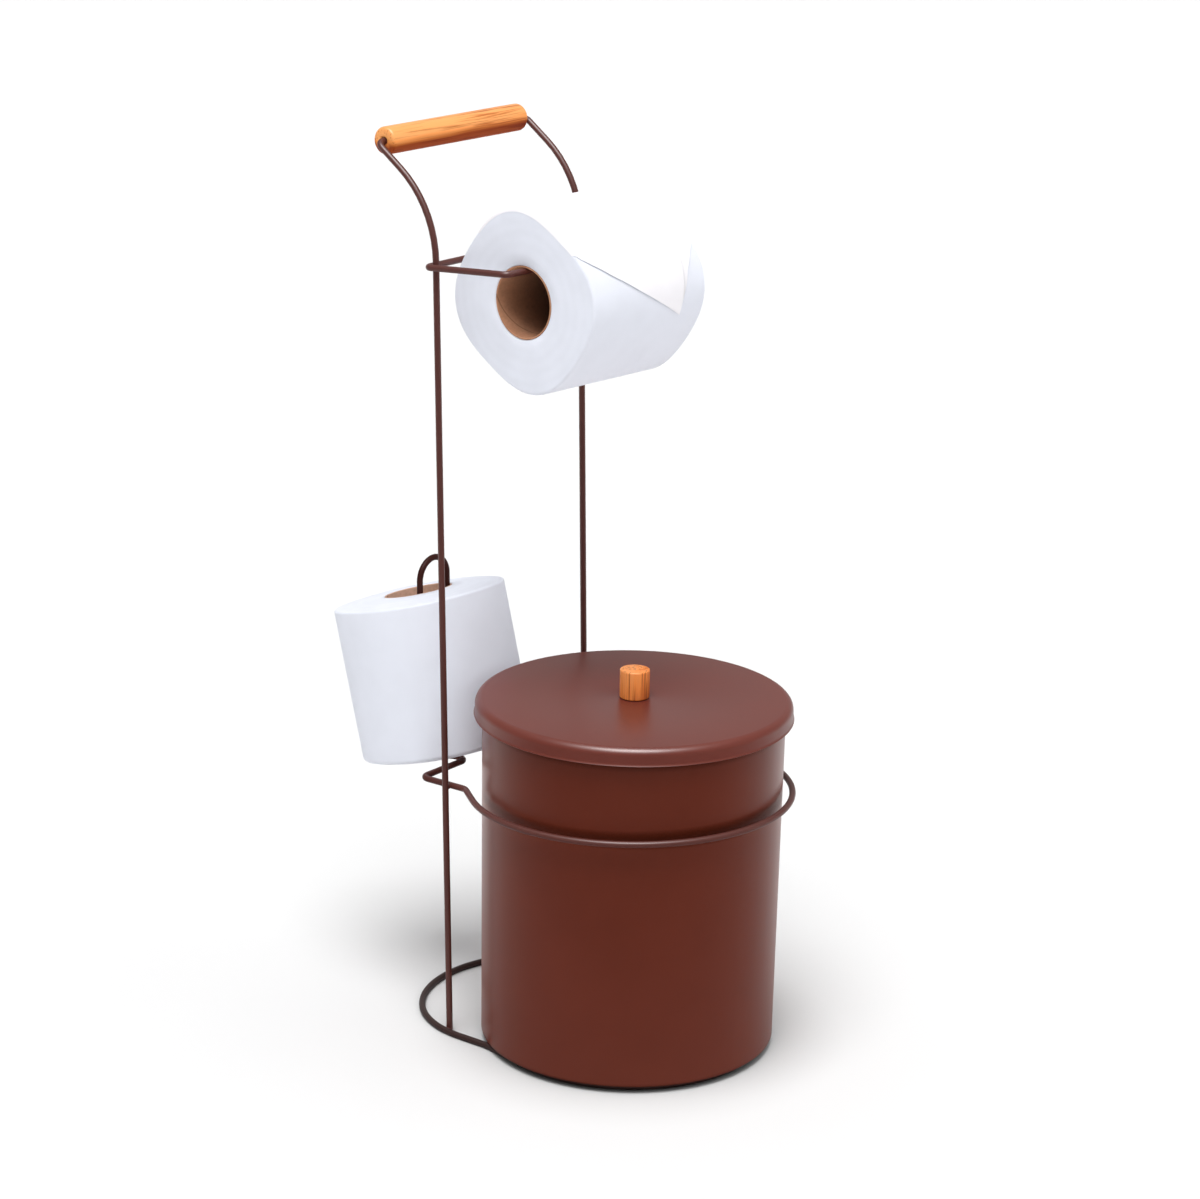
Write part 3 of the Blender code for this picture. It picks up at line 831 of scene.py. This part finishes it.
def studio_floor():
    """Matt white paint, with painted shade close to what stands on it, and mirrored brighter behind.
    """
    material, tree, shader, place = new_material("studio_floor")
    cloud = noise(tree, place, 3.0, 2.0)
    tint = colour_ramp(tree, cloud, [(stop, linear(code)) for stop, code in enumerate(FLOOR_SEEN)])
    path = add_node(tree, "LightPath").outputs
    # What the camera sees carries painted contact shade close to what stands on the floor.
    seen = mix(
        tree, path["Is Camera Ray"], (*linear(FLOOR_BOUNCE), 1),
        dimmed(tree, tint, open_air(tree, CONTACT_REACH, power=0.35)),
    )
    mirrored_level = map_range(
        tree, distance_along(tree, place, TO_BACK), 0.08, 0.9, start=-0.35, end=0.35
    )
    set_inputs(
        tree, shader, Base_Color=mix(tree, path["Is Glossy Ray"], seen, mirrored_level),
        Roughness=1.0, Specular_IOR_Level=0.0,
    )
    return material


def studio_world():
    """A white room: white to the camera, even light on the pieces, and mirrored brighter behind."""
    world = bpy.data.worlds.new("studio")
    world.use_nodes = True
    tree = world.node_tree
    path = add_node(tree, "LightPath").outputs
    shown = calculate(tree, "MAXIMUM", path["Is Camera Ray"], path["Is Transmission Ray"])
    direction = add_node(tree, "TexCoord").outputs["Generated"]
    mirrored_level = map_range(
        tree, distance_along(tree, direction, TO_BACK), 0.05, 0.5, start=-1.0
    )
    level = add_node(tree, "Mix", i0=path["Is Glossy Ray"], i2=STUDIO_LEVEL, i3=mirrored_level)
    strength = calculate(tree, "MAXIMUM", shown, level.outputs["Result"])
    set_inputs(tree, tree.nodes["Background"], Color=(1, 1, 1, 1), Strength=strength)
    return world


# Operators


class HOLDER_OT_stage(bpy.types.Operator):
    """Set up the pale floor, the soft studio light and the photograph's camera"""

    bl_idname = "holder.stage"
    bl_label = "Stage"

    def execute(self, context):
        scene = context.scene
        scene.view_settings.view_transform = "Standard"
        deselect()
        bpy.ops.mesh.primitive_plane_add(size=30)
        floor = context.object
        floor.name = "floor"
        floor.data.materials.append(studio_floor())
        scene.world = studio_world()

        for name, towards, energy, angle, lights, mirrored in LAMPS:
            bpy.ops.object.light_add(type="SUN")
            lamp = context.object
            lamp.name = name
            lamp.matrix_world = towards.to_track_quat("Z", "Y").to_matrix().to_4x4()
            lamp.data.energy = energy
            lamp.data.angle = math.radians(angle)
            lamp.visible_diffuse = lights
            lamp.visible_glossy = mirrored

        bpy.ops.object.camera_add()
        camera = context.object
        back = CAMERA_RIGHT.cross(CAMERA_UP)
        camera.matrix_world = Matrix.Translation(CAMERA_PLACE) @ Matrix(
            (CAMERA_RIGHT, CAMERA_UP, back)
        ).transposed().to_4x4()
        camera.data.sensor_fit = "HORIZONTAL"
        camera.data.lens = camera.data.sensor_width * CAMERA_FOCAL_PIXELS / PHOTO_WIDTH
        scene.camera = camera
        return {"FINISHED"}


class HOLDER_OT_wires(bpy.types.Operator):
    """Bend the four coated wires of the stand and weld them together"""

    bl_idname = "holder.wires"
    bl_label = "Wires"

    def execute(self, context):
        radius = context.scene.holder_wire.diameter / 2
        reach = context.scene.holder_wire.weld_reach
        brown = linear(WIRE_BROWN)
        coating = powder_coating("wire_powder_coating", brown, roughness=0.44, shine=0.5)
        finishes = {
            # The base wire's coating is painted darker, as painted shade
            "base_ring": powder_coating(
                "base_powder_coating_painted_shade", linear(SHADED_BASE_BROWN), roughness=0.44, shine=0.4
            ),
            # The hoop's coating carries painted shade towards the back.
            "hoop_and_post": powder_coating(
                "hoop_powder_coating", brown, roughness=0.42, shine=0.4, shade=painted_rear_shade
            ),
        }
        routes = {
            "base_ring": (base_route(radius), True),
            "uprights": (upright_route(UPRIGHT_FOOT), False),
            "hoop_and_post": (hoop_route(radius), True),
            "roll_arm": (arm_route(), False),
        }
        for node, (route, closed) in routes.items():
            wire = bend_wire(route, radius, closed)
            finish = finishes.get(node, coating)
            finish_piece(wire, node + "_wire", "stand", node, "enamel", finish)

        back_y = FEET_Y + CROSSBAR_Z * tan(UPRIGHT_LEAN) + WELD_GAP / 2
        run_z = on_hoop(0, 0).z
        run_y = FEET_Y + run_z * tan(UPRIGHT_LEAN)
        thin, wide = radius * WELD_THICKNESS, reach * WELD_WIDTH
        for side, label in ((-1, "left"), (1, "right")):
            foot_x, hoop_x = side * (UPRIGHT_X + radius), side * (UPRIGHT_X + LEAD_X) / 2
            welds = (
                ("foot", (foot_x, FEET_Y, radius), (thin, wide, thin)),
                ("hoop", (hoop_x, run_y, run_z), (thin, wide, wide)),
                ("crossbar", (side * UPRIGHT_X, back_y, CROSSBAR_Z), (wide, thin, wide)),
            )
            for seed, (name, place, size) in enumerate(welds):
                bead = weld_bead(Vector(place), size, seed + 3 + side)
                finish_piece(bead, f"{name}_weld_{label}", "stand", None, "enamel", coating)
        return {"FINISHED"}


class HOLDER_OT_grip(bpy.types.Operator):
    """Turn the wooden grip with its bore and rounded ends"""

    bl_idname = "holder.grip"
    bl_label = "Grip"

    def execute(self, context):
        colours = context.scene.holder_colours
        edge = context.scene.holder_bin.grip_edge
        size = box_size("grip")
        half, radius = size.x / 2, size.z / 2
        bore = context.scene.holder_wire.diameter / 2 + SEAT_GAP
        mouth = bore + BORE_CHAMFER
        profile = [(bore, half - BORE_CHAMFER), (mouth, half)]
        profile += corner(radius - edge, half - edge, edge, 90, 0, 8)
        profile += corner(radius - edge, edge - half, edge, 0, -90, 8)
        profile += [(mouth, -half), (bore, BORE_CHAMFER - half)]
        obj = turn_profile(profile, 64, closed=True)
        lying = Euler((0, math.pi / 2, 0)).to_matrix().to_4x4()
        apply_place(obj, Matrix.Translation(GRIP_CENTRE) @ lying)
        smooth(obj, 40)
        # Painted shade on the grip's underside and towards its far end.
        wood = turned_wood(
            "grip_beech", colours.wood, colours.wood_grain, length_axis=0,
            offset=(0.0, 0.3, 0.1), centre=GRIP_CENTRE, shade_direction=(3, 0, -110),
        )
        finish_piece(obj, "wooden_grip", "grip_body", "grip", "wood", wood)
        return {"FINISHED"}


class HOLDER_OT_bin(bpy.types.Operator):
    """Form the bin's wall with its curled rim, and press its floor"""

    bl_idname = "holder.bin"
    bl_label = "Bin"

    def execute(self, context):
        sheet = context.scene.holder_bin.sheet
        # The bin's coating carries painted shade close to other surfaces.
        coating = powder_coating(
            "bin_powder_coating", context.scene.holder_colours.enamel, roughness=0.3, shine=0.3,
            glow=0.1, shade=painted_crevice_shade,
        )
        half = sheet / 2
        top, foot = BIN_RADIUS - half, BIN_RADIUS - half - BIN_TAPER
        lip_z = BIN_FOOT + half
        profile = corner(top + RIM_CURL, RIM_TOP - half - RIM_CURL, RIM_CURL, -80, 180, 18)
        profile += corner(foot - SEAM_BEND, lip_z + SEAM_BEND, SEAM_BEND, 0, -90, 8)
        profile += [(foot - SEAM_LIP, lip_z)]
        wall = turn_profile(profile, 160)
        thicken(wall, sheet)
        apply_place(wall, Matrix.Translation(BIN_AXIS))
        finish_piece(smooth(wall), "bin_wall_sheet", "bin", "bin_wall", "enamel", coating)

        raised, step = FLOOR_Z + PAN_RISE, PAN_STEP_BEND
        profile = [(FLOOR_RADIUS, FLOOR_Z + PAN_WALL)]
        profile += corner(FLOOR_RADIUS - PAN_BEND, FLOOR_Z + PAN_BEND, PAN_BEND, 0, -90, 6)
        profile += corner(FLOOR_RADIUS - PAN_STEP_FOOT, FLOOR_Z + step, step, -90, -140, 4)
        profile += corner(FLOOR_RADIUS - PAN_STEP_HEAD, raised - step, step, 40, 90, 4)
        profile += [(POLE_RING, raised), (0, raised)]
        floor = turn_profile(profile, 128)
        thicken(floor, sheet)
        apply_place(floor, Matrix.Translation(BIN_AXIS))
        finish_piece(smooth(floor), "bin_floor_pan", "bin", "bin_floor", "enamel", coating)
        return {"FINISHED"}


class HOLDER_OT_lid(bpy.types.Operator):
    """Press the lid with its rounded edge, short skirt and small flare"""

    bl_idname = "holder.lid"
    bl_label = "Lid"

    def execute(self, context):
        sheet = context.scene.holder_bin.sheet
        coating = powder_coating(
            "lid_powder_coating", linear(LID_BROWN), roughness=0.38, shine=0.5
        )
        z = LID_TOP - sheet / 2
        end = LID_TOP - LID_HEIGHT + sheet / 2
        seat = box_size("lid_knob").x / 2 + KNOB_SEAT_MARGIN
        profile = [(SCREW_HOLE, z - KNOB_SEAT_DEPTH), (seat, z - KNOB_SEAT_DEPTH)]
        profile += [(seat + KNOB_SEAT_RUN, z), (LID_SKIRT_RADIUS - LID_RING, z)]
        profile += corner(LID_SKIRT_RADIUS - LID_EDGE, z - LID_EDGE, LID_EDGE, 90, 0, 12)
        profile += [(LID_SKIRT_RADIUS + out, end + up) for out, up in LID_FLARE]
        lid = turn_profile(profile, 160)
        thicken(lid, sheet)
        apply_place(lid, Matrix.Translation(BIN_AXIS))
        finish_piece(smooth(lid), "lid_sheet", "lid_body", "lid", "enamel", coating)
        return {"FINISHED"}


class HOLDER_OT_knob(bpy.types.Operator):
    """Turn the wooden knob, and the screw and washer that hold it from below"""

    bl_idname = "holder.knob"
    bl_label = "Knob"

    def execute(self, context):
        edge = context.scene.holder_bin.knob_edge
        low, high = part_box("lid_knob")
        radius = (high.x - low.x) / 2
        bore_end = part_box("knob_screw")[1].z + SEAT_GAP
        profile = [(0, high.z), (POLE_RING, high.z)]
        profile += corner(radius - edge, high.z - edge, edge, 90, 0, 6)
        profile += corner(radius - edge, low.z + edge, edge, 0, -90, 6)
        profile += [(SCREW_HOLE, low.z), (SCREW_HOLE, bore_end), (0, bore_end)]
        knob = apply_place(turn_profile(profile, 64), Matrix.Translation(BIN_AXIS))
        # Painted shade on the knob's lower part and one side.
        wood = turned_wood(
            "knob_beech", linear(KNOB_WOOD), linear(KNOB_GRAIN), length_axis=2,
            offset=(0.2, 0.0, 0.0), centre=BIN_AXIS + Vector((0, 0, LID_TOP)),
            shade_direction=(20, -16, -14),
        )
        finish_piece(smooth(knob), "wooden_knob", "lid_body", "lid_knob", "wood", wood)

        zinc = zinc_plate("zinc_plate")
        low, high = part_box("knob_screw")
        head, edge = (high.x - low.x) / 2, SCREW_HEAD_EDGE
        head_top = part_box("knob_washer")[0].z - SEAT_GAP
        profile = [(0, high.z), (SCREW_SHANK, high.z - SCREW_POINT)]
        profile += [(SCREW_SHANK, head_top), (head, head_top)]
        profile += corner(head - edge, low.z + edge, edge, 0, -90, 5)
        profile += [(SCREW_POLE_RING, low.z), (0, low.z)]
        screw = turn_profile(profile, 48)
        cut_slot(screw, head, low.z)
        apply_place(screw, Matrix.Translation(BIN_AXIS))
        finish_piece(smooth(screw), "knob_screw_slotted", "lid_body", "knob_screw", "zinc", zinc)

        low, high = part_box("knob_washer")
        radius, chamfer = (high.x - low.x) / 2, WASHER_CHAMFER
        profile = [
            (SCREW_HOLE, high.z), (radius - chamfer, high.z), (radius, high.z - chamfer),
            (radius, low.z + chamfer), (radius - chamfer, low.z), (SCREW_HOLE, low.z),
        ]
        washer = apply_place(turn_profile(profile, 48, closed=True), Matrix.Translation(BIN_AXIS))
        finish_piece(smooth(washer), "plain_washer", "lid_body", "knob_washer", "zinc", zinc)
        return {"FINISHED"}


def cut_slot(screw, head, underside):
    """Cut a driver slot across the screw's rounded head."""
    deselect()
    bpy.ops.mesh.primitive_cube_add(size=1, location=(0, 0, underside))
    cutter = bpy.context.object
    edit_all()
    bpy.ops.transform.resize(value=(head * 3, SLOT_WIDTH, SLOT_DEPTH * 2))
    bpy.ops.object.mode_set(mode="OBJECT")
    deselect()
    screw.select_set(True)
    bpy.context.view_layer.objects.active = screw
    modifier = screw.modifiers.new("Slot", "BOOLEAN")
    modifier.object = cutter
    modifier.operation = "DIFFERENCE"
    modifier.solver = "EXACT"
    bpy.ops.object.modifier_apply(modifier=modifier.name)
    bpy.data.objects.remove(cutter, do_unlink=True)


def roll_matrix():
    """The near end of the roll in use: Z along the bar, X to the back."""
    near = ROLL_CENTRE - BAR_DIRECTION * (ROLL_LENGTH / 2)
    turn = Euler((math.pi / 2, 0, math.pi / 2 - math.radians(ROLL_TURN)))
    return Matrix.Translation(near) @ turn.to_matrix().to_4x4()


def spare_matrix():
    """The lower end of the spare roll, Z along its leaning axis."""
    turn = Euler((-math.radians(SPARE_LEAN), 0, 0))
    return Matrix.Translation(SPARE_FOOT) @ turn.to_matrix().to_4x4()


def card_tube():
    inner, outer = CORE_INSIDE + CORE_INNER_BEVEL, CORE_OUTSIDE - CORE_OUTER_BEVEL
    shoulder = ROLL_LENGTH - CORE_BEVEL
    return turn_profile([
        (CORE_INSIDE, shoulder), (inner, ROLL_LENGTH),
        (outer, ROLL_LENGTH), (CORE_OUTSIDE, shoulder),
        (CORE_OUTSIDE, CORE_BEVEL), (outer, 0),
        (inner, 0), (CORE_INSIDE, CORE_BEVEL),
    ], 96, closed=True)


def wound_paper(radius, edge, foot_edge, outline, crown=0):
    """The roll's paper: a bore, two ends and soft edges turned, then pressed out of round."""
    mouth, top = PAPER_BORE + PAPER_BEVEL, ROLL_LENGTH + crown
    profile = [(PAPER_BORE, top - PAPER_BEVEL), (mouth, top)]
    profile += [
        (radius * share, ROLL_LENGTH + crown * (1 - share) / CROWN_RUN)
        for share in (0.55, 0.7, 0.85)
    ]
    profile += corner(radius - edge, ROLL_LENGTH - edge, edge, 90, 0, 8)
    profile += [(radius, ROLL_LENGTH * share) for share in (0.8, 0.6, 0.4, 0.2)]
    profile += corner(radius - foot_edge, foot_edge, foot_edge, 0, -90, 8)
    profile += [(radius * share, 0) for share in (0.85, 0.7, 0.55)]
    profile += [(mouth, 0), (PAPER_BORE, PAPER_BEVEL)]
    obj = turn_profile(profile, 144, closed=True)
    for vertex in obj.data.vertices:
        reach = vertex.co.xy.length
        angle = math.degrees(math.atan2(vertex.co.y, vertex.co.x))
        share = max(reach - PAPER_BORE, 0) / (radius - PAPER_BORE)
        scale = 1 + (outline(angle) - radius) * share / reach
        vertex.co.x *= scale
        vertex.co.y *= scale
    return obj


def used_outline(angle):
    """The radius of the roll in use, squeezed out of round and pressed a little oval."""
    oval = ROLL_OVAL * cos(2 * (angle - ROLL_OVAL_TURN))
    return ROLL_RADIUS + ROLL_SQUASH * cos(4 * (angle - ROLL_SQUASH_TURN)) + oval


def spare_outline(angle):
    return SPARE_RADIUS + SPARE_SQUASH * cos(4 * (angle - SPARE_SQUASH_TURN))


def paint_ends(obj, matrix):
    """Give the faces that look along the roll's axis the second material."""
    axis = (matrix.to_3x3() @ Vector((0, 0, 1))).normalized()
    for face in obj.data.polygons:
        face.material_index = 1 if abs(face.normal.dot(axis)) > 0.8 else 0


class HOLDER_OT_roll(bpy.types.Operator):
    """Make the roll in use: core, squeezed paper and pointed loose end"""

    bl_idname = "holder.roll"
    bl_label = "Roll in use"

    def execute(self, context):
        colours = context.scene.holder_colours
        sizes = context.scene.holder_roll
        matrix = roll_matrix()
        core = smooth(apply_place(card_tube(), matrix))
        # Painted shade darkens the card towards the middle of the core.
        card = core_card("roll_card", colours.card, matrix, painted_deep_share=0.15)
        finish_piece(core, "roll_card_core", "roll", "roll_core", "card", card)

        paper = wound_paper(ROLL_RADIUS, sizes.edge, sizes.edge, used_outline)
        apply_place(paper, matrix)
        side = tissue_side("roll_tissue", colours.paper, matrix)
        end = tissue_end("roll_tissue_end", colours.paper, matrix)
        smooth(paper, 50)
        finish_piece(paper, "roll_wound_paper", "roll", "roll_paper", "tissue", side, end)
        paint_ends(paper, matrix)
        self.loose_end(sizes, matrix)
        return {"FINISHED"}

    def loose_end(self, sizes, matrix):
        """Lay a grid over the roll, finer at its near edge, with its far edge cut to a point."""
        columns, rows = 90, 40
        deselect()
        bpy.ops.mesh.primitive_grid_add(x_subdivisions=columns, y_subdivisions=rows, size=1)
        sheet = bpy.context.object
        for vertex in sheet.data.vertices:
            across, along = (vertex.co.x + 0.5) ** TAIL_CROWDING, vertex.co.y + 0.5
            reach = TAIL_START + (edge_reach(across) - TAIL_START) * along
            rise = max(sin(180 * (reach - TAIL_START) / (TAIL_END - TAIL_START)), 0)
            last = max(along - TAIL_SETTLES_FROM, 0) / (1 - TAIL_SETTLES_FROM)
            settling = 1 - TAIL_SETTLING * last
            lift = sizes.tail_lift + TAIL_PUFF * math.sqrt(across) * rise * settling
            inset = across * ROLL_LENGTH
            rounding = max(sizes.edge - min(inset, ROLL_LENGTH - inset), 0)
            drop = sizes.edge - math.sqrt(sizes.edge ** 2 - rounding ** 2)
            radius = used_outline(reach) + lift - drop
            vertex.co = (radius * cos(reach), radius * sin(reach), inset)
        thicken(sheet, TAIL_THICKNESS)
        apply_place(sheet, matrix)
        edit_all()
        bpy.ops.mesh.normals_make_consistent(inside=False)
        bpy.ops.object.mode_set(mode="OBJECT")
        smooth(sheet, 60)
        # The loose end's tissue is painted lighter than the roll's paper: painted light.
        tissue = tissue_side("loose_tissue_painted_light", linear(LOOSE_PAPER_PAINTED_LIGHT), matrix)
        finish_piece(sheet, "roll_loose_end", "roll", "roll_tail", "tissue", tissue)


def edge_reach(across):
    """How far round the roll the loose end reaches at one share of its width."""
    for (start, low), (end, high) in zip(TAIL_EDGE, TAIL_EDGE[1:]):
        if across <= end:
            return low + (high - low) * (across - start) / (end - start)
    return TAIL_EDGE[-1][1]


class HOLDER_OT_spare_roll(bpy.types.Operator):
    """Make the spare roll that leans back on the post"""

    bl_idname = "holder.spare_roll"
    bl_label = "Spare roll"

    def execute(self, context):
        colours = context.scene.holder_colours
        matrix = spare_matrix()
        pushed_up = Matrix.Translation((0, 0, SPARE_CROWN))
        core = smooth(apply_place(card_tube(), matrix @ pushed_up))
        card = core_card("spare_card", linear(SPARE_CARD), matrix, painted_deep_share=1.0)
        finish_piece(core, "spare_card_core", "spare_roll", "spare_core", "card", card)
        edge = context.scene.holder_roll.spare_edge
        paper = wound_paper(SPARE_RADIUS, edge, 2 * edge, spare_outline, SPARE_CROWN)
        apply_place(paper, matrix)
        side = tissue_side("spare_tissue", colours.paper, matrix)
        end = tissue_end("spare_tissue_end", colours.paper, matrix)
        smooth(paper, 50)
        finish_piece(
            paper, "spare_wound_paper", "spare_roll", "spare_paper", "tissue", side, end
        )
        paint_ends(paper, matrix)
        return {"FINISHED"}


class HOLDER_PT_panel(bpy.types.Panel):
    """Lists the pieces of the holder with their sizes and colours"""

    bl_label = "Toilet paper holder"
    bl_space_type = "VIEW_3D"
    bl_region_type = "UI"
    bl_category = "Holder"

    def draw(self, context):
        for operator in OPERATORS:
            self.layout.operator(operator.bl_idname)
        for holder, group in GROUPS.items():
            for name in group.__annotations__:
                self.layout.prop(getattr(context.scene, holder), name)


OPERATORS = (
    HOLDER_OT_stage, HOLDER_OT_wires, HOLDER_OT_grip, HOLDER_OT_bin, HOLDER_OT_lid, HOLDER_OT_knob,
    HOLDER_OT_roll, HOLDER_OT_spare_roll,
)
GROUPS = {
    "holder_wire": WireSizes, "holder_bin": BinSizes, "holder_roll": RollSizes,
    "holder_colours": FinishColours,
}


def register():
    for cls in (*GROUPS.values(), *OPERATORS, HOLDER_PT_panel):
        bpy.utils.register_class(cls)
    for name, group in GROUPS.items():
        setattr(bpy.types.Scene, name, PointerProperty(type=group))


def unregister():
    for name in GROUPS:
        delattr(bpy.types.Scene, name)
    for cls in (HOLDER_PT_panel, *reversed(OPERATORS), *reversed(GROUPS.values())):
        bpy.utils.unregister_class(cls)


def main():
    register()
    for operator in OPERATORS:
        group, name = operator.bl_idname.split(".")
        getattr(getattr(bpy.ops, group), name)()


if __name__ == "__main__":
    main()
